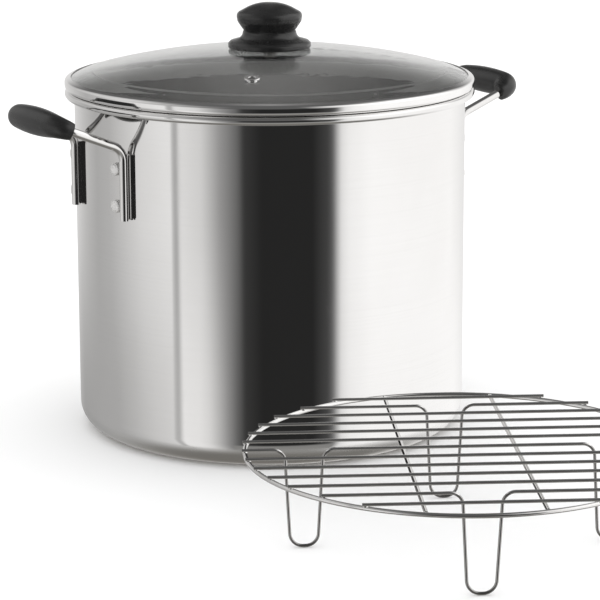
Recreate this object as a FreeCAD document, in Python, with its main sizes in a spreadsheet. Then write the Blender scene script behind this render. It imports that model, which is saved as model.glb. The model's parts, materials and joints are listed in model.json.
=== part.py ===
import FreeCAD, Part
import math
import os
import Sketcher

# Water-bath canner: a tall steel pot with two riveted wire handles, a vented glass lid
# with a screwed knob, and a footed wire rack that stands beside the pot.
# Millimetres and degrees. Z is up and is the pot's axis; the pot's base lies on z = 0.

SIZES = {
    # pot: spun sheet with a rolled rim
    "pot_radius": 155.0,
    "pot_wall": 1.0,
    "pot_base": 1.2,
    "pot_corner": 19.6,
    "rim_top": 272.3,
    "rim_radius": 162.5,
    "rim_depth": 6.5,
    "rim_roll": 3.2,
    "rim_flare": 5.1,
    "rim_lip": 158.0,
    # lid: glass dome in a steel band
    "lid_lift_gap": 0.3,
    "skirt_radius": 153.2,
    "skirt_wall": 0.7,
    "skirt_depth": 10.4,
    "band_height": 7.6,
    "band_hem": 2.6,
    "band_edge": 3.2,
    "band_lip": 157.4,
    "band_seat": 156.5,
    "glass_radius": 161.0,
    "glass_thickness": 4.1,
    "glass_top": 303.0,
    "glass_shoulder": 72.0,
    "glass_crown": 570.0,
    "glass_brow": 150.0,
    "glass_brow_drop": 18.7,
    "glass_brow_round": 110.0,
    "glass_edge_drop": 23.6,
    "glass_bore": 3.4,
    "vent_reach": 109.1,
    "vent_bearing": 263.0,
    "vent_hole": 4.3,
    "eyelet_bore": 2.6,
    "eyelet_flange": 6.0,
    "eyelet_collar": 1.1,
    "eyelet_top_round": 0.8,
    "eyelet_low_round": 0.5,
    # knob: two black mouldings on a brass insert, held by one screw from below
    "knob_foot": 302.85,
    "knob_flange": 32.8,
    "knob_flange_top": 308.5,
    "flange_low_round": 1.4,
    "flange_top_round": 1.2,
    "flange_shelf": 1.8,
    "neck_rise": 2.7,
    "neck_round": 6.0,
    "knob_neck": 21.2,
    "knob_joint": 316.8,
    "groove_depth": 1.0,
    "groove_round": 0.4,
    "knob_undercut": 0.6,
    "knob_waist": 324.0,
    "knob_waist_round": 1.5,
    "knob_shoulder": 327.4,
    "knob_shoulder_round": 3.0,
    "knob_widest": 25.9,
    "knob_brow": 330.4,
    "knob_brow_round": 4.0,
    "knob_top": 338.6,
    "knob_crown": 11.0,
    "knob_crown_round": 36.0,
    "knob_hollow": 28.0,
    "knob_hollow_depth": 3.2,
    "knob_boss": 9.0,
    "knob_boss_lift": 0.7,
    "insert_radius": 4.5,
    "insert_top": 331.0,
    "screw_radius": 2.4,
    "screw_end": 329.0,
    "screw_head": 4.6,
    "screw_head_height": 2.8,
    "screw_head_round": 1.2,
    "screw_tip": 0.6,
    "slot_length": 5.4,
    "slot_width": 1.0,
    "slot_depth": 1.4,
    "washer_radius": 8.0,
    "steel_washer": 1.0,
    "soft_washer": 1.5,
    "washer_round": 0.3,
    "play": 0.05,
    "soft_edge": 0.8,
    # handles: bent rod welded to brackets, moulded grip over the loop
    "left_bearing": 211.4,
    "right_bearing": 29.4,
    "rod_radius": 3.35,
    "leg_reach": 159.0,
    "leg_spread": 39.6,
    "leg_foot": 186.2,
    "leg_bend": 240.9,
    "leg_bend_round": 13.0,
    "arm_length": 56.2,
    "arm_tilt": 22.0,
    "loop_round": 14.0,
    "grip_start": 44.0,
    "grip_shift": 2.0,
    "grip_end_radius": 6.4,
    "grip_swell": 4.3,
    "grip_fullness": 0.76,
    "bracket_thickness": 2.7,
    "bracket_foot": 188.0,
    "bracket_height": 49.0,
    "bracket_sweep": 6.7,
    "bracket_wing": 2.2,
    "rivet_offset": 3.5,
    "rivet_low": 196.0,
    "rivet_high": 224.7,
    "rivet_shank": 2.4,
    "rivet_head": 4.9,
    "rivet_head_height": 3.2,
    "rivet_crown": 2.9,
    "rivet_crown_round": 1.8,
    "rivet_edge": 1.0,
    "rivet_tail": 4.0,
    "rivet_tail_height": 1.5,
    "drill_length": 12.0,
    # rack: parallel wires laid on a ring, with feet bent into three of the wires
    "rack_x": 129.1,
    "rack_y": -331.8,
    "rack_turn": 2.9,
    "grid_radius": 1.15,
    "grid_height": 70.3,
    "grid_pitch": 21.3,
    "ring_radius": 147.6,
    "ring_wire": 1.6,
    "wire_overhang": 0.6,
    "cross_wire": 1.5,
    "cross_left": -38.3,
    "cross_right": 40.0,
    "weld_gap": 0.02,
    "foot_reach": 107.1,
    "foot_shift": 2.4,
    "foot_half_top": 13.3,
    "foot_half_low": 9.5,
    "foot_top_round": 8.6,
    "foot_low_round": 9.2,
}
GRID_WIRES = 13
GRIP_SECTIONS = 24

doc = FreeCAD.newDocument("canner")
sheet = doc.addObject("Spreadsheet::Sheet", "Dims")
for row, (alias, number) in enumerate(SIZES.items(), start=1):
    sheet.set(f"A{row}", alias)
    sheet.set(f"B{row}", str(number))
    sheet.setAlias(f"B{row}", alias)
doc.recompute()
nodes = []


class Size:
    """A number together with the sheet formula that gives it."""

    def __init__(self, value, formula):
        self.value = value
        self.formula = formula

    def __add__(self, other):
        other = sized(other)
        return Size(self.value + other.value, f"({self.formula} + {other.formula})")

    def __sub__(self, other):
        other = sized(other)
        return Size(self.value - other.value, f"({self.formula} - {other.formula})")

    def __mul__(self, other):
        other = sized(other)
        return Size(self.value * other.value, f"({self.formula} * {other.formula})")

    def __truediv__(self, other):
        other = sized(other)
        return Size(self.value / other.value, f"({self.formula} / {other.formula})")

    def __neg__(self):
        return Size(-self.value, f"(-1 * {self.formula})")


def sized(number):
    """Gives a plain number the form of a Size."""
    return number if isinstance(number, Size) else Size(float(number), repr(float(number)))


def dim(alias):
    """One driving dimension from the sheet."""
    return Size(float(sheet.get(alias)), f"Dims.{alias}")


def mm(alias):
    """One driving dimension as a plain number, for shapes made by Part's functions."""
    return float(sheet.get(alias))


def root_of_difference(long_side, short_side):
    """The third side of a right triangle."""
    value = math.sqrt(long_side.value ** 2 - short_side.value ** 2)
    return Size(value, f"sqrt({long_side.formula}^2 - {short_side.formula}^2)")


# ---- sketches ----------------------------------------------------------------------

def plane_of(body, role):
    """One of a body's own origin planes."""
    return next(item for item in body.Origin.OriginFeatures if item.Role == role)


def new_sketch(body, name, role):
    sketch = body.newObject("Sketcher::SketchObject", name)
    sketch.AttachmentSupport = [(plane_of(body, role), "")]
    sketch.MapMode = "FlatFace"
    return sketch


def bind(sketch, kind, *items):
    """Adds a constraint whose last item is a Size, and ties it to the sheet."""
    size = sized(items[-1])
    index = sketch.addConstraint(Sketcher.Constraint(kind, *items[:-1], size.value))
    name = f"{kind}{index}"
    sketch.renameConstraint(index, name)
    sketch.setExpression(f"Constraints.{name}", size.formula)


def place_point(sketch, element, vertex, across, up):
    """Ties a point to the sketch's axes, or to its distances from them."""
    if abs(across.value) < 1e-9:
        sketch.addConstraint(Sketcher.Constraint("PointOnObject", element, vertex, -2))
    else:
        bind(sketch, "DistanceX", -1, 1, element, vertex, across)
    if abs(up.value) < 1e-9:
        sketch.addConstraint(Sketcher.Constraint("PointOnObject", element, vertex, -1))
    else:
        bind(sketch, "DistanceY", -1, 1, element, vertex, up)


def rounding(before, corner, after, radius):
    """The tangent points and the middle of the arc that rounds a corner."""
    back = (before - corner).normalize()
    ahead = (after - corner).normalize()
    half = back.getAngle(ahead) / 2
    leg = radius / math.tan(half)
    bisector = (back + ahead).normalize()
    middle = corner + bisector * (radius / math.sin(half) - radius)
    return corner + back * leg, middle, corner + ahead * leg


def draw(sketch, corners, closed=True):
    """Straight runs from corner to corner; a corner given a radius is rounded.

    A corner is (across, up) or (across, up, radius).
    """
    corners = [tuple(sized(item) for item in corner) for corner in corners]
    points = [FreeCAD.Vector(c[0].value, c[1].value, 0) for c in corners]
    count = len(points)
    enter, leave, arcs = list(points), list(points), {}
    for i, corner in enumerate(corners):
        if len(corner) == 3:
            enter[i], middle, leave[i] = rounding(
                points[i - 1], points[i], points[(i + 1) % count], corner[2].value)
            arcs[i] = sketch.addGeometry(Part.Arc(enter[i], middle, leave[i]), False)
    runs = count if closed else count - 1
    lines = [sketch.addGeometry(Part.LineSegment(leave[i], enter[(i + 1) % count]), False)
             for i in range(runs)]
    for i, corner in enumerate(corners):
        into = lines[i - 1] if closed or i > 0 else None
        out = lines[i] if i < runs else None
        if i not in arcs:
            if into is not None and out is not None:
                sketch.addConstraint(Sketcher.Constraint("Coincident", into, 2, out, 1))
            end = (into, 2) if into is not None else (out, 1)
            place_point(sketch, *end, corner[0], corner[1])
            continue
        starts_here = (sketch.getPoint(arcs[i], 1) - enter[i]).Length < 1e-6
        first, last = (1, 2) if starts_here else (2, 1)
        sketch.addConstraint(Sketcher.Constraint("Tangent", into, 2, arcs[i], first))
        sketch.addConstraint(Sketcher.Constraint("Tangent", arcs[i], last, out, 1))
        bind(sketch, "Radius", arcs[i], corner[2])
        mark = sketch.addGeometry(Part.Point(points[i]), True)
        place_point(sketch, mark, 1, corner[0], corner[1])
        sketch.addConstraint(Sketcher.Constraint("PointOnObject", mark, 1, into))
        sketch.addConstraint(Sketcher.Constraint("PointOnObject", mark, 1, out))


# ---- kinds of sub-part -------------------------------------------------------------

def keep(piece):
    """Adds a finished sub-part to the list that is written out."""
    nodes.append(piece)
    return piece


def turned(name, corners):
    """A body of revolution about Z from an outline in the XZ plane."""
    body = doc.addObject("PartDesign::Body", name)
    outline = new_sketch(body, f"{name}_outline", "XZ_Plane")
    draw(outline, corners)
    revolution = body.newObject("PartDesign::Revolution", f"{name}_turn")
    revolution.Profile = outline
    revolution.ReferenceAxis = (outline, ["V_Axis"])
    revolution.Angle = 360
    doc.recompute()
    return body


def cylinder(name, radius, height, placement=None):
    """A plain cylinder whose radius and height are tied to the sheet."""
    solid = doc.addObject("Part::Cylinder", name)
    solid.setExpression("Radius", sized(radius).formula)
    solid.setExpression("Height", sized(height).formula)
    if placement is not None:
        solid.Placement = placement
    return solid


def cut(name, base, tool):
    piece = doc.addObject("Part::Cut", name)
    piece.Base = base
    piece.Tool = tool
    return piece


def group(name, members):
    compound = doc.addObject("Part::Compound", name)
    compound.Links = members
    return compound


def about_z(angle):
    return FreeCAD.Rotation(FreeCAD.Vector(0, 0, 1), angle)


def radial(angle, height, reach):
    """A placement on the pot's wall whose local Z points straight out from the axis."""
    turn = about_z(angle)
    outward = FreeCAD.Rotation(FreeCAD.Vector(0, 1, 0), 90)
    position = turn.multVec(FreeCAD.Vector(reach, 0, height))
    return FreeCAD.Placement(position, turn.multiply(outward))


# ---- pot ---------------------------------------------------------------------------

def make_pot(rivet_places):
    """The pot, spun from one sheet: flat base, straight wall and rolled rim."""
    wall = dim("pot_wall")
    outside = dim("pot_radius")
    inside = outside - wall
    top = dim("rim_top")
    under = top - dim("rim_depth")
    edge = dim("rim_radius")
    shell = turned("pot_shell", [
        (0, 0),
        (outside, 0, dim("pot_corner")),
        (outside, top - wall, dim("rim_flare") - wall + dim("play")),
        (edge - wall, top - wall, dim("rim_roll") - wall),
        (edge - wall, under + wall, dim("rim_roll") - wall),
        (dim("rim_lip"), under + wall),
        (dim("rim_lip"), under),
        (edge, under, dim("rim_roll")),
        (edge, top, dim("rim_roll")),
        (inside, top, dim("rim_flare")),
        (inside, dim("pot_base"), dim("pot_corner") - wall),
        (0, dim("pot_base")),
    ])
    drills = group("rivet_drills", [
        cylinder(f"pot_drill_{i}", dim("rivet_shank") + dim("play"), dim("drill_length"),
                 radial(angle, height, mm("pot_radius") - mm("drill_length") / 2))
        for i, (angle, height) in enumerate(rivet_places)])
    keep(cut("pot_body", shell, drills))


# ---- handles -----------------------------------------------------------------------

def rod_corners():
    """Corners of a handle's rod, with X pointing out from the pot at the handle's middle."""
    spread = mm("leg_spread")
    reach = math.sqrt(mm("leg_reach") ** 2 - spread ** 2)
    tilt = math.radians(mm("arm_tilt"))
    out = reach + mm("arm_length") * math.cos(tilt)
    rise = mm("leg_bend") + mm("arm_length") * math.sin(tilt)
    side = [FreeCAD.Vector(reach, 1, mm("leg_foot")),
            FreeCAD.Vector(reach, 1, mm("leg_bend")),
            FreeCAD.Vector(out, 1, rise)]
    near = [FreeCAD.Vector(p.x, -spread, p.z) for p in side]
    far = [FreeCAD.Vector(p.x, spread, p.z) for p in reversed(side)]
    return near + far


def rounded_wire(corners, radii):
    """A wire of straight runs joined by tangent arcs."""
    edges = []
    start = corners[0]
    for before, corner, after, radius in zip(corners, corners[1:], corners[2:], radii):
        enter, middle, leave = rounding(before, corner, after, radius)
        edges.append(Part.LineSegment(start, enter).toShape())
        edges.append(Part.Arc(enter, middle, leave).toShape())
        start = leave
    edges.append(Part.LineSegment(start, corners[-1]).toShape())
    return Part.Wire(edges)


def rod_solid(wire, radius):
    """A round rod along a wire."""
    first = wire.OrderedEdges[0]
    tangent = first.tangentAt(first.FirstParameter)
    ring = Part.Wire(Part.Circle(first.valueAt(first.FirstParameter), tangent, radius).toShape())
    return wire.makePipeShell([ring], True, False)


def handle_wire():
    bend, loop = mm("leg_bend_round"), mm("loop_round")
    return rounded_wire(rod_corners(), [bend, loop, loop, bend])


def point_along(wire, distance):
    """The point and direction at a distance from the wire's start."""
    for edge in wire.OrderedEdges:
        if distance <= edge.Length + 1e-9:
            parameter = edge.getParameterByLength(distance)
            return edge.valueAt(parameter), edge.tangentAt(parameter)
        distance -= edge.Length
    raise ValueError("past the end of the wire")


def grip_solid(wire):
    """The moulded grip: a loft of circles along the rod's loop, thickest in the middle."""
    bend = mm("leg_bend_round")
    half_turn = math.radians(90 - mm("arm_tilt")) / 2
    leg = mm("leg_bend") - mm("leg_foot")
    saved = 2 * bend * math.tan(half_turn) - 2 * bend * half_turn
    margin = leg + mm("grip_start") - saved
    first = margin - mm("grip_shift")
    last = wire.Length - margin - mm("grip_shift")
    sections = []
    for i in range(GRIP_SECTIONS + 1):
        share = i / GRIP_SECTIONS
        swell = math.sin(math.pi * share) ** mm("grip_fullness") if 0 < share < 1 else 0
        radius = mm("grip_end_radius") + mm("grip_swell") * swell
        centre, direction = point_along(wire, first + (last - first) * share)
        sections.append(Part.Wire(Part.Circle(centre, direction, radius).toShape()))
    return Part.makeLoft(sections, True, False)


def make_rivet(name, angle, height):
    """A rivet with a domed head outside and a formed tail inside the pot."""
    seat = dim("play")
    grip = dim("bracket_thickness") + dim("pot_wall") + seat * 3
    tail = dim("rivet_tail")
    head = dim("rivet_head")
    top = dim("rivet_head_height")
    body = turned(name, [
        (0, -grip - dim("rivet_tail_height")),
        (tail, -grip - dim("rivet_tail_height"), dim("soft_edge")),
        (tail, -grip),
        (dim("rivet_shank"), -grip),
        (dim("rivet_shank"), 0),
        (head, 0),
        (head, top - dim("rivet_edge"), dim("rivet_edge")),
        (dim("rivet_crown"), top, dim("rivet_crown_round")),
        (0, top),
    ])
    reach = mm("pot_radius") + mm("bracket_thickness") + seat.value
    body.Placement = radial(angle, height, reach)
    keep(body)


def make_bracket(name, leg_angle, rivet_angle):
    """A curved plate under the leg, grooved for the rod and drilled for its rivets."""
    height = dim("bracket_height")
    start = FreeCAD.Placement(FreeCAD.Vector(0, 0, mm("bracket_foot")),
                              about_z(leg_angle - mm("bracket_sweep")))
    block = cylinder(f"{name}_block", dim("pot_radius") + dim("bracket_thickness"), height, start)
    block.setExpression("Angle", (dim("bracket_sweep") + dim("bracket_wing")).formula)
    core = cylinder(f"{name}_core", dim("pot_radius") + dim("play"), height, start)
    leg_place = about_z(leg_angle).multVec(FreeCAD.Vector(mm("leg_reach"), 0, mm("leg_foot")))
    notch = cylinder(f"{name}_notch", dim("rod_radius") + dim("play"), height * 2,
                     FreeCAD.Placement(leg_place, FreeCAD.Rotation()))
    drills = [cylinder(f"{name}_drill_{row}", dim("rivet_shank") + dim("play"),
                       dim("drill_length"),
                       radial(rivet_angle, mm(row), mm("pot_radius") - mm("drill_length") / 2))
              for row in ("rivet_low", "rivet_high")]
    tools = group(f"{name}_tools", [core, notch] + drills)
    keep(cut(name, block, tools))


def make_handle(side, bearing):
    """One handle: rod, grip, and a bracket with two rivets at each leg."""
    wire = handle_wire()
    place = FreeCAD.Placement(FreeCAD.Vector(0, 0, 0), about_z(bearing))
    rod = doc.addObject("Part::Feature", f"handle_rod_{side}")
    rod.Shape = rod_solid(wire, mm("rod_radius"))
    rod.Placement = place
    keep(rod)
    grip = doc.addObject("Part::Feature", f"handle_grip_{side}")
    grip.Shape = grip_solid(wire).cut(rod_solid(wire, mm("rod_radius") + mm("play")))
    grip.Placement = place
    keep(grip)
    half = math.degrees(math.asin(mm("leg_spread") / mm("leg_reach")))
    places = []
    nearest_first = sorted((bearing + half, bearing - half),
                           key=lambda angle: math.sin(math.radians(angle)))
    for leg, angle in zip(("front", "rear"), nearest_first):
        rivet_angle = angle - mm("rivet_offset")
        make_bracket(f"handle_bracket_{side}_{leg}", angle, rivet_angle)
        for row, alias in (("upper", "rivet_high"), ("lower", "rivet_low")):
            make_rivet(f"rivet_{side}_{leg}_{row}", rivet_angle, mm(alias))
            places.append((rivet_angle, mm(alias)))
    return places


# ---- lid ---------------------------------------------------------------------------

def vent_placement(drop):
    """On the dome's large arc at the vent, square to it, a distance below its top face."""
    slope = math.atan(mm("glass_brow_drop") / (mm("glass_brow") - mm("glass_shoulder")))
    arc_start = mm("glass_shoulder") - mm("glass_crown") * math.tan(slope / 2)
    tilt = math.asin((mm("vent_reach") - arc_start) / mm("glass_crown"))
    fall = mm("glass_crown") * (1 - math.cos(tilt))
    turn = about_z(mm("vent_bearing"))
    top = turn.multVec(FreeCAD.Vector(mm("vent_reach"), 0, mm("glass_top") - fall))
    rotation = turn.multiply(FreeCAD.Rotation(FreeCAD.Vector(0, 1, 0), math.degrees(tilt)))
    return FreeCAD.Placement(top + rotation.multVec(FreeCAD.Vector(0, 0, -drop)), rotation)


def make_glass():
    """The tempered glass dome, with a bore for the knob screw and a hole for the vent."""
    top = dim("glass_top")
    thick = dim("glass_thickness")
    bore = dim("glass_bore")
    brow = top - dim("glass_brow_drop")
    edge = top - dim("glass_edge_drop")
    dome = turned("glass_dome", [
        (bore, top - thick),
        (dim("glass_shoulder"), top - thick, dim("glass_crown")),
        (dim("glass_brow"), brow - thick, dim("glass_brow_round")),
        (dim("glass_radius"), edge - thick),
        (dim("glass_radius"), edge),
        (dim("glass_brow"), brow, dim("glass_brow_round")),
        (dim("glass_shoulder"), top, dim("glass_crown")),
        (bore, top),
    ])
    drill = cylinder("vent_drill", dim("vent_hole"), dim("drill_length"),
                     vent_placement(mm("drill_length") / 2))
    keep(cut("lid_glass", dome, drill))


def make_band():
    """The steel band: a flange that rests over the pot's rim, a skirt and a folded top edge."""
    low = dim("rim_top") + dim("lid_lift_gap")
    hem = low + dim("band_hem")
    high = low + dim("band_height")
    edge = dim("glass_top") - dim("glass_edge_drop")
    gap = dim("play") * 2
    channel = dim("glass_radius") + gap
    skirt = dim("skirt_radius")
    edge_slope = (dim("glass_edge_drop") - dim("glass_brow_drop")) / (
        dim("glass_radius") - dim("glass_brow"))
    lip_rise = (channel - dim("band_lip")) * edge_slope
    keep(turned("lid_band", [
        (skirt - dim("skirt_wall"), low - dim("skirt_depth")),
        (skirt, low - dim("skirt_depth")),
        (skirt, low),
        (dim("rim_radius"), low, dim("band_edge")),
        (dim("rim_radius"), high, dim("band_edge")),
        (dim("band_lip"), high + lip_rise),
        (dim("band_lip"), edge + lip_rise + gap),
        (channel, edge + gap),
        (channel, hem),
        (dim("band_seat"), hem),
        (dim("band_seat"), low + dim("skirt_wall")),
        (skirt - dim("skirt_wall"), low + dim("skirt_wall")),
    ]))


def make_vent():
    """The vent's metal eyelet, rolled over above and below the glass."""
    wall = dim("vent_hole") - dim("play")
    bore = dim("eyelet_bore")
    flange = dim("eyelet_flange")
    collar = dim("eyelet_collar")
    glass = dim("glass_thickness")
    gap = dim("play")
    low_round = dim("eyelet_low_round")
    top_round = dim("eyelet_top_round")
    eyelet = turned("steam_vent_eyelet", [
        (bore, -glass - gap - collar, low_round),
        (flange, -glass - gap - collar, low_round),
        (flange, -glass - gap),
        (wall, -glass - gap),
        (wall, gap),
        (flange, gap),
        (flange, gap + collar, top_round),
        (bore, gap + collar, top_round),
    ])
    eyelet.Placement = vent_placement(0)
    keep(eyelet)


def make_knob_mouldings():
    """The knob's base and cap, which meet in the groove under the mushroom head."""
    neck = dim("knob_neck")
    joint = dim("knob_joint")
    foot = dim("knob_foot")
    flange = dim("knob_flange")
    flange_top = dim("knob_flange_top")
    groove = dim("groove_depth")
    hollow = dim("knob_hollow")
    ceiling = foot + dim("knob_hollow_depth")
    boss_foot = foot + dim("knob_boss_lift")
    socket = dim("insert_radius") + dim("play")
    soft = dim("soft_edge")
    keep(turned("knob_base", [
        (socket, boss_foot),
        (dim("knob_boss"), boss_foot),
        (dim("knob_boss"), ceiling, soft),
        (hollow, ceiling, soft),
        (hollow, foot),
        (flange, foot, dim("flange_low_round")),
        (flange, flange_top - dim("flange_shelf"), dim("flange_top_round")),
        (flange - dim("flange_shelf"), flange_top, soft),
        (neck, flange_top + dim("neck_rise"), dim("neck_round")),
        (neck, joint - groove),
        (neck - groove, joint),
        (socket, joint),
    ]))
    cap_foot = joint + dim("weld_gap")
    widest = dim("knob_widest")
    socket_top = dim("insert_top") + dim("play")
    keep(turned("knob_cap", [
        (socket, cap_foot),
        (neck - groove, cap_foot),
        (neck, cap_foot + groove, dim("groove_round")),
        (widest - dim("knob_undercut"), dim("knob_waist"), dim("knob_waist_round")),
        (widest, dim("knob_shoulder"), dim("knob_shoulder_round")),
        (widest, dim("knob_brow"), dim("knob_brow_round")),
        (dim("knob_crown"), dim("knob_top"), dim("knob_crown_round")),
        (0, dim("knob_top")),
        (0, socket_top),
        (socket, socket_top),
    ]))


def make_knob_fixings():
    """The brass insert inside the knob, and the screw and two washers under the glass."""
    screw_radius = dim("screw_radius")
    thread = screw_radius + dim("play")
    tip = dim("screw_tip")
    insert = dim("insert_radius")
    insert_foot = dim("knob_foot") + dim("knob_boss_lift") + dim("play")
    keep(turned("knob_insert", [
        (thread, insert_foot),
        (insert, insert_foot),
        (insert, dim("insert_top")),
        (0, dim("insert_top")),
        (0, dim("screw_end") + tip),
        (thread, dim("screw_end") + tip),
    ]))
    under_glass = dim("glass_top") - dim("glass_thickness") - dim("play")
    under_soft = under_glass - dim("soft_washer")
    under_steel = under_soft - dim("steel_washer")
    washer = dim("washer_radius")
    bend = dim("washer_round")
    keep(turned("glass_washer", [
        (screw_radius + bend, under_soft),
        (washer, under_soft, bend),
        (washer, under_glass, bend),
        (screw_radius + bend, under_glass),
    ]))
    steel = washer - dim("soft_edge")
    keep(turned("screw_washer", [
        (thread, under_steel),
        (steel, under_steel, bend),
        (steel, under_soft, bend),
        (thread, under_soft),
    ]))
    head = dim("screw_head")
    head_under = under_steel - dim("screw_head_height")
    screw = turned("screw_blank", [
        (0, head_under),
        (head, head_under, dim("screw_head_round")),
        (head, under_steel),
        (screw_radius, under_steel),
        (screw_radius, dim("screw_end") - tip),
        (screw_radius - tip, dim("screw_end")),
        (0, dim("screw_end")),
    ])
    slots = group("screw_slots", [
        slot_cutter("slot_long", "slot_length", "slot_width", head_under),
        slot_cutter("slot_cross", "slot_width", "slot_length", head_under)])
    keep(cut("knob_screw", screw, slots))


def slot_cutter(name, length, width, face):
    """A block that cuts one bar of the screw's cross slot up into its head."""
    depth = mm("slot_depth")
    cutter = doc.addObject("Part::Box", name)
    cutter.setExpression("Length", dim(length).formula)
    cutter.setExpression("Width", dim(width).formula)
    cutter.setExpression("Height", (dim("slot_depth") * 2).formula)
    cutter.Placement.Base = FreeCAD.Vector(-mm(length) / 2, -mm(width) / 2, face.value - depth)
    return cutter


# ---- rack --------------------------------------------------------------------------

def rack_place(along, across, height=0.0, tilt=None):
    """A placement in the rack's own directions: along the wires and across them."""
    turn = about_z(mm("rack_turn"))
    centre = FreeCAD.Vector(mm("rack_x"), mm("rack_y"), height)
    rotation = turn if tilt is None else turn.multiply(tilt)
    return FreeCAD.Placement(centre + turn.multVec(FreeCAD.Vector(along, across, 0)), rotation)


def half_path(offset, feet):
    """Half a grid wire, from its middle to its end on the ring."""
    top = dim("grid_height")
    floor = dim("grid_radius")
    reach = dim("ring_radius") + dim("ring_wire") + dim("wire_overhang")
    end = (root_of_difference(reach, offset), top)
    half_top, half_low = dim("foot_half_top"), dim("foot_half_low")
    bend, low_bend = dim("foot_top_round"), dim("foot_low_round")
    if feet == "middle":
        return [(0, floor), (half_low, floor, low_bend), (half_top, top, bend), end]
    middle = dim("foot_reach")
    return [(0, top),
            (middle - half_top, top, bend), (middle - half_low, floor, low_bend),
            (middle + half_low, floor, low_bend), (middle + half_top, top, bend), end]


def make_footed_wire(name, offset, feet, place):
    """A grid wire with feet bent into it, swept from its middle to one end and mirrored."""
    body = doc.addObject("PartDesign::Body", name)
    path = new_sketch(body, f"{name}_path", "XZ_Plane")
    corners = half_path(offset, feet)
    draw(path, corners, closed=False)
    section = new_sketch(body, f"{name}_section", "YZ_Plane")
    height = sized(corners[0][1])
    circle = Part.Circle(FreeCAD.Vector(0, height.value, 0), FreeCAD.Vector(0, 0, 1),
                         mm("grid_radius"))
    index = section.addGeometry(circle, False)
    place_point(section, index, 3, sized(0), height)
    bind(section, "Radius", index, dim("grid_radius"))
    doc.recompute()
    sweep = body.newObject("PartDesign::AdditivePipe", f"{name}_sweep")
    sweep.Profile = section
    sweep.Spine = (path, [f"Edge{i + 1}" for i in range(len(path.Shape.Edges))])
    doc.recompute()
    mirror = body.newObject("PartDesign::Mirrored", f"{name}_mirror")
    mirror.Originals = [sweep]
    mirror.MirrorPlane = (plane_of(body, "YZ_Plane"), [""])
    body.Tip = mirror
    body.Placement = place
    keep(body)


def make_grid_wire(number):
    """One wire of the grid: plain, or with a foot at its middle or one at each side."""
    steps = (GRID_WIRES + 1) // 2 - number
    offset = dim("grid_pitch") * abs(steps)
    across = steps * mm("grid_pitch")
    name = f"rack_wire_{number:02d}"
    if number in (2, GRID_WIRES - 1):
        make_footed_wire(name, offset, "middle", rack_place(mm("foot_shift"), across))
    elif steps == 0:
        make_footed_wire(name, offset, "sides", rack_place(0, across))
    else:
        reach = dim("ring_radius") + dim("ring_wire") + dim("wire_overhang")
        half = root_of_difference(reach, offset)
        lying = FreeCAD.Rotation(FreeCAD.Vector(0, 1, 0), 90)
        keep(cylinder(name, dim("grid_radius"), half * 2,
                      rack_place(-half.value, across, mm("grid_height"), lying)))


def make_rack():
    """The rack's ring, its two cross wires and its grid."""
    ring = doc.addObject("Part::Torus", "rack_ring")
    ring.setExpression("Radius1", dim("ring_radius").formula)
    ring.setExpression("Radius2", dim("ring_wire").formula)
    wire_under = mm("grid_height") - mm("grid_radius") - mm("weld_gap")
    ring.Placement = rack_place(0, 0, wire_under - mm("ring_wire"))
    keep(ring)
    inside = dim("ring_radius") - dim("ring_wire") - dim("play") * 2
    lying = FreeCAD.Rotation(FreeCAD.Vector(1, 0, 0), -90)
    for side in ("left", "right"):
        along = dim(f"cross_{side}")
        outer = Size(abs(along.value), f"abs({along.formula})") + dim("cross_wire")
        half = root_of_difference(inside, outer)
        keep(cylinder(f"rack_cross_wire_{side}", dim("cross_wire"), half * 2,
                      rack_place(along.value, -half.value, wire_under - mm("cross_wire"), lying)))
    for number in range(1, GRID_WIRES + 1):
        make_grid_wire(number)


# ---- build, check and write --------------------------------------------------------

def check_model():
    """Stops if any object failed or any sub-part has no valid shape."""
    doc.recompute()
    for item in doc.Objects:
        if "Invalid" in item.State or "Error" in item.State:
            raise RuntimeError(f"{item.Label} failed: {item.State}")
    for piece in nodes:
        if piece.Shape.isNull() or not piece.Shape.isValid():
            raise RuntimeError(f"{piece.Label} has no valid shape")
        if len(piece.Shape.Solids) != 1:
            raise RuntimeError(f"{piece.Label} has {len(piece.Shape.Solids)} solids")


rivets = make_handle("left", mm("left_bearing")) + make_handle("right", mm("right_bearing"))
make_pot(rivets)
make_glass()
make_band()
make_vent()
make_knob_mouldings()
make_knob_fixings()
make_rack()
check_model()
os.makedirs("parts", exist_ok=True)
for node in nodes:
    node.Shape.exportStep(f"parts/{node.Label}.step")
    box = node.Shape.BoundBox
    print(f"{node.Label}: volume {node.Shape.Volume:.1f}, z {box.ZMin:.2f} to {box.ZMax:.2f}")
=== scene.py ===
"""Looks of the water-bath canner: materials, turned pieces, weld beads, studio and camera around
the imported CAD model."""

import json
import math
import random

import bmesh
import bpy
from mathutils import Matrix, Vector, noise


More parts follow.
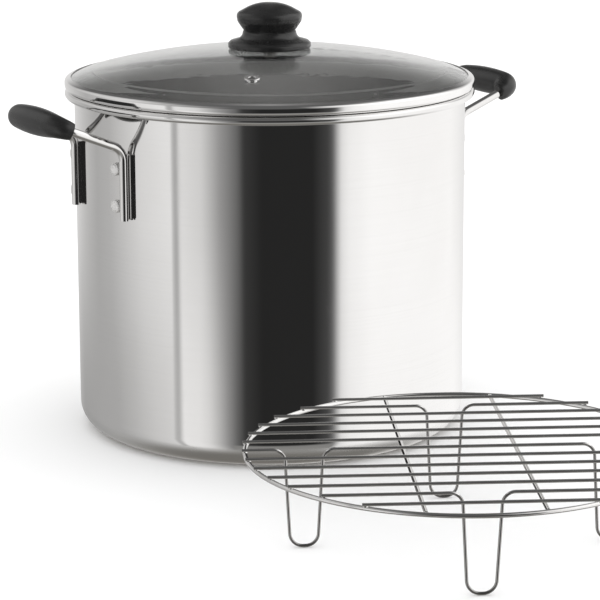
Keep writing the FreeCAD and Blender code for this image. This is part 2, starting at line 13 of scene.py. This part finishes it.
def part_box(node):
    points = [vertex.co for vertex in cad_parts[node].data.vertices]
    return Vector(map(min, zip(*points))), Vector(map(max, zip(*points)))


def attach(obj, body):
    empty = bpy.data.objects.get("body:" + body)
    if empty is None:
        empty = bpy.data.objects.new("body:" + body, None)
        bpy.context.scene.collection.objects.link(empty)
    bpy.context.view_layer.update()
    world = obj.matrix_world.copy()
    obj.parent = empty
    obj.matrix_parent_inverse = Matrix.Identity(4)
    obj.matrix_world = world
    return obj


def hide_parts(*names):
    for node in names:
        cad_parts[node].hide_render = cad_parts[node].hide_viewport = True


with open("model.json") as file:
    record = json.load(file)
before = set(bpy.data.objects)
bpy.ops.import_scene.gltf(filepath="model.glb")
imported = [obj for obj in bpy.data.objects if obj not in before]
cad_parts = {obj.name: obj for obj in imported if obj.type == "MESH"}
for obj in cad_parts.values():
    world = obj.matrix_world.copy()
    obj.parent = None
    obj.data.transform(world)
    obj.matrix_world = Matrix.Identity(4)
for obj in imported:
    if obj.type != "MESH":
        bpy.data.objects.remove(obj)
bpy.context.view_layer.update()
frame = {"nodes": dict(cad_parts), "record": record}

MM = 0.001
NODES = frame["nodes"]


# ---------------------------------------------------------------- node graphs

class Graph:
    """A material's node tree, with short calls for the nodes that the finishes share."""

    def __init__(self, name):
        self.material = bpy.data.materials.new(name)
        self.material.use_nodes = True
        self.tree = self.material.node_tree
        self.shader = self.tree.nodes["Principled BSDF"]

    def node(self, kind, settings=None, **inputs):
        made = self.tree.nodes.new(kind)
        for key, value in (settings or {}).items():
            setattr(made, key, value)
        for key, value in inputs.items():
            self.feed(made.inputs[key.replace("_", " ")], value)
        return made

    def feed(self, socket, value):
        if isinstance(value, bpy.types.NodeSocket):
            self.tree.links.new(value, socket)
        else:
            socket.default_value = value

    def maths(self, operation, *values, clamp=False):
        made = self.tree.nodes.new("ShaderNodeMath")
        made.operation = operation
        made.use_clamp = clamp
        for socket, value in zip(made.inputs, values):
            self.feed(socket, value)
        return made.outputs[0]

    def place(self, stretch=(1, 1, 1)):
        """The point in the shared frame, in metres, times a stretch along each axis."""
        point = self.node("ShaderNodeTexCoord").outputs["Object"]
        return self.node("ShaderNodeMapping", Vector=point, Scale=stretch).outputs[0]

    def noise(self, scale, stretch=(1, 1, 1), detail=3.0, roughness=0.5):
        made = self.node("ShaderNodeTexNoise", Vector=self.place(stretch), Scale=scale,
                         Detail=detail, Roughness=roughness)
        return made.outputs["Fac"]

    def from_axis(self):
        """How far the point is from the pot's axis."""
        x, y, z = self.node("ShaderNodeSeparateXYZ", Vector=self.place()).outputs
        return self.maths("SQRT", self.maths("ADD", self.maths("MULTIPLY", x, x),
                                             self.maths("MULTIPLY", y, y)))

    def height(self):
        return self.node("ShaderNodeSeparateXYZ", Vector=self.place()).outputs[2]

    def choose(self, share, first, second):
        """first where share is 0, second where it is 1, as numbers."""
        made = self.node("ShaderNodeMix")
        for socket, number in zip(made.inputs[:1] + made.inputs[2:4], (share, first, second)):
            self.feed(socket, number)
        return made.outputs[0]

    def span(self, value, low, high, start=0.0, end=1.0):
        """value, eased from start at low to end at high."""
        made = self.node("ShaderNodeMapRange", {"interpolation_type": "SMOOTHSTEP"})
        for socket, number in zip(made.inputs, (value, low, high, start, end)):
            self.feed(socket, number)
        return made.outputs[0]

    def mix(self, share, first, second):
        made = self.tree.nodes.new("ShaderNodeMix")
        made.data_type = "RGBA"
        self.feed(made.inputs["Factor"], share)
        self.feed(made.inputs[6], first)
        self.feed(made.inputs[7], second)
        return made.outputs[2]

    def at_least(self, colour, floor):
        """A colour, lifted to a floor in each of its channels."""
        made = self.node("ShaderNodeVectorMath", {"operation": "MAXIMUM"})
        self.feed(made.inputs[0], colour)
        self.feed(made.inputs[1], floor)
        return made.outputs[0]

    def bump(self, height, distance, strength=1.0, under=None):
        made = self.node("ShaderNodeBump", Height=height, Distance=distance, Strength=strength)
        if under is not None:
            self.feed(made.inputs["Normal"], under)
        return made.outputs[0]

    def set(self, **inputs):
        for key, value in inputs.items():
            self.feed(self.shader.inputs[key.replace("_", " ")], value)


def grey(level, warmth=0.0):
    """An opaque colour of one brightness, a little warmer in red and colder in blue."""
    return (level * (1 + warmth), level, level * (1 - warmth), 1.0)


# ------------------------------------------------------------------ materials

def steel_graph(name, level, low, high, grain, grain_scale, grain_depth, cloud):
    """The graph of polished stainless steel and its tint: level is the steel's brightness, low to
    high its roughness, grain the way its polishing lines run, as a stretch of the point."""
    graph = Graph(name)
    lines = graph.noise(grain_scale, grain, detail=4.0, roughness=0.65)
    clouds = graph.noise(cloud, detail=5.0, roughness=0.6)
    rub = graph.noise(cloud * 9, (1, 1, 2.5), detail=6.0, roughness=0.7)
    tint = graph.mix(graph.span(clouds, 0.3, 0.7), grey(level * 0.96, 0.012), grey(level, 0.004))
    tint = graph.mix(graph.span(lines, 0.35, 0.8, 0.0, 0.35), tint, grey(level * 0.88, 0.015))
    wear = graph.maths("MULTIPLY", graph.span(rub, 0.45, 0.75), graph.span(clouds, 0.35, 0.65))
    mixed = graph.maths("ADD", graph.maths("MULTIPLY", lines, 0.5),
                        graph.maths("MULTIPLY", wear, 0.5))
    graph.set(Base_Color=tint, Metallic=1.0, Roughness=graph.span(mixed, 0.15, 0.75, low, high),
              Normal=graph.bump(lines, grain_depth))
    return graph, tint


def steel(*look):
    graph, tint = steel_graph(*look)
    return graph.material


def pot_steel():
    """The pot: mirror polished outside with fine rings round it, satin inside."""
    graph = Graph("pot_steel")
    rings = graph.noise(1.0, (6, 6, 1500), detail=5.0, roughness=0.7)
    clouds = graph.noise(9.0, (1, 1, 0.6), detail=5.0, roughness=0.55)
    smears = graph.noise(60.0, (1, 1, 0.25), detail=5.0, roughness=0.7)
    half_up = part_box("pot_body")[1].z * 0.5
    outer = outer_radius(NODES["pot_body"], half_up)
    outside = graph.maths("GREATER_THAN", graph.from_axis(), outer - 0.4 * MM)
    tint = graph.mix(graph.span(clouds, 0.3, 0.7), grey(0.80, 0.008), grey(0.84, 0.004))
    tint = graph.mix(graph.span(rings, 0.4, 0.85, 0.0, 0.3), tint, grey(0.74, 0.012))
    # Towards the base the steel is painted darker and warmer: partly a straw heat tint of the
    # steel, partly painted shade for the floor's contact shadow mirrored in the base corner.
    straw_and_painted_shade = graph.span(graph.height(), 0.0, 9 * MM, 0.35, 0.0)
    tint = graph.mix(straw_and_painted_shade, tint, (0.66, 0.58, 0.49, 1.0))
    shine = graph.maths("ADD", graph.maths("MULTIPLY", rings, 0.6),
                        graph.maths("MULTIPLY", graph.span(smears, 0.45, 0.8), 0.4))
    polished = graph.span(shine, 0.2, 0.8, 0.05, 0.11)
    satin = graph.span(shine, 0.2, 0.8, 0.22, 0.30)
    tangent = graph.node("ShaderNodeTangent", {"direction_type": "RADIAL", "axis": "Z"})
    graph.set(Base_Color=tint, Metallic=1.0, Roughness=graph.choose(outside, satin, polished),
              Anisotropic=0.25, Tangent=tangent.outputs[0], Normal=graph.bump(rings, 1.2e-6))
    return graph.material


def band_steel():
    """The lid's band: bright outside, satin on the skirt and channel under the glass."""
    graph = Graph("band_steel")
    rings = graph.noise(1.0, (5, 5, 1100), detail=4.0, roughness=0.65)
    clouds = graph.noise(22.0, detail=5.0, roughness=0.6)
    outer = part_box("lid_band")[1].x
    outside = graph.span(graph.from_axis(), outer - 7.0 * MM, outer - 5.6 * MM)
    tint = graph.mix(graph.span(clouds, 0.3, 0.7), grey(0.84, 0.008), grey(0.88, 0.004))
    tint = graph.mix(graph.span(rings, 0.4, 0.8, 0.0, 0.3), tint, grey(0.78, 0.01))
    polished = graph.span(clouds, 0.25, 0.75, 0.03, 0.09)
    satin = graph.span(clouds, 0.25, 0.75, 0.42, 0.55)
    graph.set(Base_Color=tint, Metallic=graph.choose(outside, 0.35, 1.0),
              Roughness=graph.choose(outside, satin, polished), Normal=graph.bump(rings, 0.8e-6))
    return graph.material


def outer_radius(node, height):
    """The largest distance from the Z axis of a node's points below a height."""
    points = (v.co for v in node.data.vertices if v.co.z < height)
    return max(math.hypot(p.x, p.y) for p in points)


def black_plastic(name, level, low, high, pore=1400.0, pore_depth=9e-6):
    """Moulded black phenolic: fine pores, a satin skin and slightly greyer rubbed areas."""
    graph = Graph(name)
    pores = graph.noise(pore, detail=4.0, roughness=0.65)
    flow = graph.noise(38.0, (1, 1, 1.7), detail=4.0)
    rubbed = graph.noise(110.0, detail=6.0, roughness=0.7)
    edges = graph.node("ShaderNodeNewGeometry").outputs["Pointiness"]
    wear = graph.maths("MULTIPLY", graph.span(edges, 0.5, 0.56), graph.span(rubbed, 0.4, 0.7))
    tint = graph.mix(graph.span(flow, 0.3, 0.7), grey(level * 0.75), grey(level * 1.25))
    tint = graph.mix(graph.maths("MULTIPLY", wear, 0.6), tint, grey(level * 3.2))
    shine = graph.maths("ADD", graph.maths("MULTIPLY", flow, 0.6),
                        graph.maths("MULTIPLY", rubbed, 0.4))
    skin = graph.bump(flow, 60e-6, 0.5)
    graph.set(Base_Color=tint, Roughness=graph.span(shine, 0.3, 0.7, low, high), IOR=1.52,
              Normal=graph.bump(pores, pore_depth, 0.8, skin))
    return graph.material


def clear_glass():
    """Tempered glass, very slightly grey green, with faint wiping marks. Shadow rays pass through
    it, so that the pieces under the lid are lit."""
    graph = Graph("lid_glass")
    wipes = graph.noise(24.0, (1, 2.2, 1), detail=6.0, roughness=0.7)
    specks = graph.noise(420.0, detail=2.0)
    marks = graph.maths("MAXIMUM", graph.span(wipes, 0.5, 0.8), graph.span(specks, 0.68, 0.78))
    tint = graph.mix(graph.span(wipes, 0.35, 0.75),
                     (0.965, 0.975, 0.97, 1), (0.93, 0.945, 0.94, 1))
    graph.set(Base_Color=tint, Roughness=graph.span(marks, 0.0, 1.0, 0.0, 0.05), IOR=1.5,
              Transmission_Weight=1.0, Normal=graph.bump(wipes, 6e-6, 0.5))
    passing = graph.node("ShaderNodeBsdfTransparent", Color=grey(0.8))
    shadow = graph.node("ShaderNodeLightPath").outputs["Is Shadow Ray"]
    both = graph.node("ShaderNodeMixShader", Fac=shadow)
    graph.tree.links.new(graph.shader.outputs[0], both.inputs[1])
    graph.tree.links.new(passing.outputs[0], both.inputs[2])
    graph.tree.links.new(both.outputs[0], graph.tree.nodes["Material Output"].inputs["Surface"])
    return graph.material


def rubber():
    """Dark grey washer rubber with a matt, slightly grainy skin."""
    graph = Graph("washer_rubber")
    grain = graph.noise(2200.0, detail=3.0)
    cloud = graph.noise(140.0, detail=4.0)
    tint = graph.mix(graph.span(cloud, 0.3, 0.7), grey(0.022), grey(0.045, 0.02))
    graph.set(Base_Color=tint, Roughness=graph.span(grain, 0.3, 0.7, 0.62, 0.8),
              Normal=graph.bump(grain, 20e-6))
    return graph.material


def brass():
    """Turned brass of the knob's insert, a little tarnished in patches."""
    graph = Graph("insert_brass")
    lines = graph.noise(1.0, (8, 8, 3000), detail=4.0)
    patch = graph.noise(260.0, detail=5.0)
    tint = graph.mix(graph.span(patch, 0.4, 0.7), (0.79, 0.60, 0.27, 1), (0.55, 0.38, 0.17, 1))
    graph.set(Base_Color=tint, Metallic=1.0, Roughness=graph.span(patch, 0.3, 0.7, 0.22, 0.4),
              Normal=graph.bump(lines, 3e-6))
    return graph.material


def rivet_alloy():
    """Satin aluminium rivets: a peened, slightly dimpled skin."""
    graph = Graph("rivet_alloy")
    peen = graph.noise(520.0, detail=3.0, roughness=0.6)
    dust = graph.noise(1900.0, detail=3.0)
    tint = graph.mix(graph.span(peen, 0.35, 0.7), grey(0.80, 0.01), grey(0.92, 0.01))
    graph.set(Base_Color=tint, Metallic=0.8, Roughness=graph.span(dust, 0.3, 0.7, 0.40, 0.52),
              Normal=graph.bump(peen, 40e-6, 0.6))
    return graph.material


def rack_steel():
    """Drawn wire: bright on the ring and the grid; the cross wires and feet below the grid are
    painted a darker grey, a painted shade for the grid above them.
    """
    graph, tint = steel_graph("rack_steel", 0.82, 0.08, 0.2, (1, 1, 1), 800.0, 3e-6, 45.0)
    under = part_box("rack_cross_wire_left")[1].z
    low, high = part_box("rack_ring")
    centre = (low + high) / 2
    x, y, z = graph.node("ShaderNodeSeparateXYZ", Vector=graph.place()).outputs
    across = graph.maths("SUBTRACT", x, centre.x)
    along = graph.maths("SUBTRACT", y, centre.y)
    reach = graph.maths("SQRT", graph.maths("ADD", graph.maths("MULTIPLY", across, across),
                                            graph.maths("MULTIPLY", along, along)))
    ring = (high.x - low.x) / 2 - 5 * MM
    # Painted shade: below the top of the cross wires and away from the ring, the wire's colour
    # turns dark grey.
    share = graph.maths("MAXIMUM", graph.span(z, under - 0.5 * MM, under + 0.3 * MM),
                        graph.span(reach, ring - 1 * MM, ring))
    graph.set(Base_Color=graph.mix(share, grey(0.42, 0.02), tint))
    return graph.material


def finishes():
    """Every material slot of the record, with its Blender material."""
    return {
        "pot_steel": pot_steel(),
        "band_steel": band_steel(),
        "rod_steel": steel("rod_steel", 0.82, 0.07, 0.15, (1, 1, 1), 700.0, 2e-6, 40.0),
        "bracket_steel": steel("bracket_steel", 0.80, 0.06, 0.14, (1, 1, 14), 160.0, 1.5e-6, 60.0),
        "rivet_alloy": rivet_alloy(),
        "grip_black": black_plastic("grip_black", 0.012, 0.24, 0.38),
        "knob_black": black_plastic("knob_black", 0.013, 0.18, 0.32),
        "lid_glass": clear_glass(),
        "vent_steel": steel("vent_steel", 0.85, 0.08, 0.2, (1, 1, 6), 600.0, 2e-6, 300.0),
        "insert_brass": brass(),
        "screw_steel": steel("screw_steel", 0.74, 0.16, 0.32, (1, 1, 8), 700.0, 3e-6, 240.0),
        "washer_rubber": rubber(),
        "rack_steel": rack_steel(),
    }


def slots_of_nodes():
    """The record's material slot of each CAD node."""
    return {piece["node"]: piece["material_slot"] for piece in frame["record"]["subparts"]}


# --------------------------------------------------------------- bead and piece

def weld_bead(mesh, centre, along, size, seed):
    """One irregular drop of weld metal: size is its half length, half width and half height."""
    random.seed(seed)
    bead = bmesh.new()
    bmesh.ops.create_icosphere(bead, subdivisions=3, radius=1.0)
    offset = Vector((random.uniform(-9, 9), random.uniform(-9, 9), random.uniform(-9, 9)))
    lean = random.uniform(0.85, 1.15)
    side = Vector((0, 0, 1)).cross(along).normalized()
    for vertex in bead.verts:
        swell = 1 + 0.22 * noise.noise(vertex.co * 1.6 + offset)
        x, y, z = vertex.co * swell
        vertex.co = centre + along * (x * size[0] * lean) + side * (y * size[1]) \
            + Vector((0, 0, z * size[2]))
    for face in bead.faces:
        face.smooth = True
    part = bpy.data.meshes.new("bead")
    bead.to_mesh(part)
    bead.free()
    mesh.from_mesh(part)
    bpy.data.meshes.remove(part)


def piece_from(mesh, name, body, material):
    data = bpy.data.meshes.new(name)
    mesh.to_mesh(data)
    mesh.free()
    piece = bpy.data.objects.new(name, data)
    bpy.context.scene.collection.objects.link(piece)
    data.materials.append(material)
    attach(piece, body)
    return piece


# --------------------------------------------------------------- turned pieces

TURNS = 192
CORNER = math.radians(45)
CREASE = math.radians(28)


def seam_profile(node):
    """The outline, as (distance from the axis, height), that a turned CAD node's seam follows at
    zero bearing, in order. Flat faces across the axis have no seam, so pot_body's outline stops at
    the rims of its base."""
    mesh = bmesh.new()
    mesh.from_mesh(node.data)
    bmesh.ops.remove_doubles(mesh, verts=mesh.verts, dist=0.002 * MM)
    near = 0.003 * MM
    seam = [v for v in mesh.verts if abs(v.co.y) < near and v.co.x > -near]
    on_seam = set(seam)
    walk = [min(seam, key=lambda v: (v.co.x, v.co.z))]
    while True:
        steps = [edge.other_vert(walk[-1]) for edge in walk[-1].link_edges]
        steps = [v for v in steps if v in on_seam and v not in walk]
        if not steps:
            break
        walk.append(min(steps, key=lambda v: (v.co - walk[-1].co).length))
    outline = [(v.co.x, v.co.z) for v in walk]
    mesh.free()
    return outline


def eased(outline):
    """A closed outline with its shallow bends cut to shorter steps and its corners kept."""
    points = [Vector(point) for point in outline]
    result = []
    for number, point in enumerate(points):
        before = points[number - 1] - point
        after = points[(number + 1) % len(points)] - point
        if math.pi - before.angle(after) > CORNER:
            result.append(point)
            continue
        cut = 0.25 * min(before.length, after.length)
        result.append(point + before.normalized() * cut)
        result.append(point + after.normalized() * cut)
    return result


def turned_mesh(outline):
    """The closed outline turned round the Z axis, smooth but for its creases."""
    mesh = bmesh.new()
    angles = [(step + 0.5) * 2 * math.pi / TURNS for step in range(TURNS)]
    rings = [[mesh.verts.new((radius * math.cos(a), radius * math.sin(a), height)) for a in angles]
             for radius, height in outline]
    for first, second in zip(rings, rings[1:] + rings[:1]):
        for step in range(TURNS):
            after = (step + 1) % TURNS
            mesh.faces.new([first[step], first[after], second[after], second[step]])
    bmesh.ops.recalc_face_normals(mesh, faces=mesh.faces)
    for face in mesh.faces:
        face.smooth = True
    for edge in mesh.edges:
        edge.smooth = edge.calc_face_angle(0.0) < CREASE
    return mesh


def turned_piece(name, body, material):
    """A finely turned copy that stands for a round CAD node, so that highlights run evenly round
    it. The copy has no drilled holes, and pot_body's has no base disc."""
    mesh = turned_mesh(eased(seam_profile(NODES[name])))
    piece = piece_from(mesh, name + "_turned", body, material)
    even = piece.modifiers.new("even_normals", "WEIGHTED_NORMAL")
    even.keep_sharp = True
    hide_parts(name)
    return piece


# ----------------------------------------------------------------- weld beads

def wire_ends(node):
    """The centres of a straight wire's two end faces, the left one first."""
    low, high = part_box(node)
    points = [v.co for v in NODES[node].data.vertices]
    near = 0.35 * MM
    left = [p for p in points if p.x < low.x + near]
    right = [p for p in points if p.x > high.x - near]
    return [sum(group, Vector()) / len(group) for group in (left, right)]


def rack_welds(material):
    """A bead where each grid wire's ends are welded on the ring."""
    beads = bmesh.new()
    wires = sorted(name for name in NODES if name.startswith("rack_wire_"))
    ring_low, ring_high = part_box("rack_ring")
    seam = ring_high.z
    for number, wire in enumerate(wires):
        left, right = wire_ends(wire)
        along = (right - left).normalized()
        for end, inward in ((left, along), (right, -along)):
            centre = end + inward * 2.1 * MM
            centre.z = seam - 0.1 * MM
            weld_bead(beads, centre, along, (1.7 * MM, 1.55 * MM, 0.8 * MM), 100 + number)
    return piece_from(beads, "rack_ring_welds", "rack", material)


# -------------------------------------------------------------------- studio

SURROUND_RADIUS = 5.0


def surround():
    """A large glowing shell that only reflections see: the studio's cards, table and ceiling."""
    shell = bmesh.new()
    bmesh.ops.create_uvsphere(shell, u_segments=96, v_segments=48, radius=SURROUND_RADIUS)
    data = bpy.data.meshes.new("studio_surround")
    shell.to_mesh(data)
    shell.free()
    backdrop = bpy.data.objects.new("studio_surround", data)
    bpy.context.scene.collection.objects.link(backdrop)
    backdrop.location.z = 0.15
    data.materials.append(surround_light())
    backdrop.visible_camera = False
    backdrop.visible_diffuse = False
    backdrop.visible_shadow = False
    backdrop.visible_volume_scatter = False


# The light of the studio's cards round the pot, at bearings from behind it over its left side, the
# camera's side at 0 degrees and its right side to behind it again: near the table, level, and high.
TABLE_CARDS = (
    (-180, 0.50), (-149, 0.38), (-121, 0.44), (-102, 0.45), (-86, 0.54), (-72, 0.66), (-59, 0.74),
    (-57, 0.50), (-55, 0.50), (-52, 0.95), (-42, 0.93), (-36, 0.82), (-31, 0.60), (-25, 0.33),
    (-20, 0.155), (-15, 0.045), (-5, 0.022), (24, 0.022), (33, 0.07), (36, 0.18), (41, 0.86),
    (46, 1.0), (60, 1.1), (140, 1.1), (180, 0.8),
)
LEVEL_CARDS = (
    (-180, 0.80), (-150, 0.68), (-121, 0.47), (-106, 0.52), (-80, 0.80), (-59, 0.90), (-57, 0.45),
    (-55, 0.45), (-53, 0.84), (-40, 0.74), (-29, 0.36), (-18.5, 0.15), (-15, 0.045), (-5, 0.022),
    (24, 0.022), (33, 0.06), (36, 0.13), (41, 0.86), (46, 1.02), (60, 1.12), (130, 1.12),
    (145, 1.0), (163, 0.85), (180, 0.80),
)
HIGH_CARDS = (
    (-180, 0.28), (-172, 0.14), (-160, 0.12), (-140, 0.60), (-100, 0.75), (-60, 0.45),
    (-25, 0.12), (20, 0.12), (40, 0.9), (60, 1.3), (120, 1.3), (140, 0.60), (162, 0.12),
    (172, 0.14), (180, 0.28),
)


def cards_round(graph, bearing, cards):
    """The light of a row of cards at a bearing, blended evenly from one to the next."""
    ramp = graph.node("ShaderNodeValToRGB", Fac=bearing)
    stops = ramp.color_ramp.elements
    while len(stops) < len(cards):
        stops.new(0.5)
    for number, (degrees, light) in enumerate(cards):
        stops[number].position = degrees / 360 + 0.5
        stops[number].color = grey(light, 0.008)
    return ramp.outputs[0]


def surround_light():
    """The shell's glow: from the table up, its near edge, the three rows of cards, the ceiling."""
    graph = Graph("studio_light")
    tree = graph.tree
    point = graph.node("ShaderNodeTexCoord").outputs["Object"]
    x, y, z = graph.node("ShaderNodeSeparateXYZ", Vector=point).outputs
    angle = graph.maths("ARCTAN2", x, graph.maths("MULTIPLY", y, -1.0))
    bearing = graph.maths("ADD", graph.maths("DIVIDE", angle, 2 * math.pi), 0.5)
    height = graph.maths("DIVIDE", z, SURROUND_RADIUS)
    table = graph.mix(graph.span(height, -0.93, -0.55), (0.20, 0.192, 0.178, 1.0),
                      (0.42, 0.415, 0.40, 1.0))
    cards = cards_round(graph, bearing, TABLE_CARDS)
    lifted = graph.at_least(cards, (0.26, 0.257, 0.248))
    edge = graph.mix(graph.span(height, -0.85, -0.45), table, lifted)
    low = graph.mix(graph.span(height, -0.41, -0.30), edge, cards)
    level = graph.mix(graph.span(height, -0.31, -0.16), low,
                      cards_round(graph, bearing, LEVEL_CARDS))
    high = graph.mix(graph.span(height, 0.72, 0.95), cards_round(graph, bearing, HIGH_CARDS),
                     grey(0.12))
    light = graph.mix(graph.span(height, 0.12, 0.42), level, high)
    glow = graph.node("ShaderNodeEmission", Color=light, Strength=1.0)
    tree.links.new(glow.outputs[0], tree.nodes["Material Output"].inputs["Surface"])
    return graph.material


def floor():
    """A pale floor that steel doesn't mirror."""
    sheet = bmesh.new()
    bmesh.ops.create_grid(sheet, x_segments=1, y_segments=1, size=12.0)
    data = bpy.data.meshes.new("studio_floor")
    sheet.to_mesh(data)
    sheet.free()
    ground = bpy.data.objects.new("studio_floor", data)
    bpy.context.scene.collection.objects.link(ground)
    graph = Graph("studio_floor")
    mottle = graph.noise(3.0, detail=3.0)
    tint = graph.mix(mottle, grey(0.92), grey(0.94))
    graph.set(Base_Color=tint, Roughness=0.9, Specular_IOR_Level=0.0)
    data.materials.append(graph.material)
    ground.location.z = -0.2 * MM
    ground.visible_glossy = False


SKY_STRENGTH = 1.32


def sky():
    """An even white world, which lights the matt surfaces and is the background."""
    world = bpy.data.worlds.new("studio_white")
    bpy.context.scene.world = world
    world.use_nodes = True
    world.node_tree.nodes["Background"].inputs["Color"].default_value = (1, 1, 1, 1)
    world.node_tree.nodes["Background"].inputs["Strength"].default_value = SKY_STRENGTH


# The photo's view: where the lens stands, how far it turns, tilts down and rolls in degrees, and
# its length in mm on a 36 mm sensor.
EYE = (0, -2.0484, 0.57257)
EYE_TURN = -0.6586
EYE_DOWN = 13.062
EYE_ROLL = -0.1613
LENS = 155.78
SENSOR = 36.0


def camera():
    """The photo's view: from the front, a little down, turned a touch to the right."""
    data = bpy.data.cameras.new("camera")
    eye = bpy.data.objects.new("camera", data)
    bpy.context.scene.collection.objects.link(eye)
    data.sensor_width = SENSOR
    data.lens = LENS
    data.clip_end = 50.0
    turn = Matrix.Rotation(math.radians(EYE_TURN), 4, "Z")
    down = Matrix.Rotation(math.radians(90 - EYE_DOWN), 4, "X")
    roll = Matrix.Rotation(math.radians(EYE_ROLL), 4, "Z")
    eye.matrix_world = Matrix.Translation(EYE) @ turn @ down @ roll
    bpy.context.scene.camera = eye


# ---------------------------------------------------------------------- build

def main():
    materials = finishes()
    slots = slots_of_nodes()
    for name, node in NODES.items():
        for place in node.material_slots:
            place.material = materials[slots[name]]
    welds = rack_welds(materials["rack_steel"])
    turned_piece("pot_body", "pot", materials["pot_steel"])
    turned_piece("lid_band", "lid", materials["band_steel"])
    # The photo shows no image of the rack in the pot's wall, so reflections leave the rack out.
    for piece in [welds] + [node for name, node in NODES.items() if name.startswith("rack_")]:
        piece.visible_glossy = False
    surround()
    floor()
    sky()
    camera()
    bpy.context.scene.view_settings.view_transform = "Standard"


main()
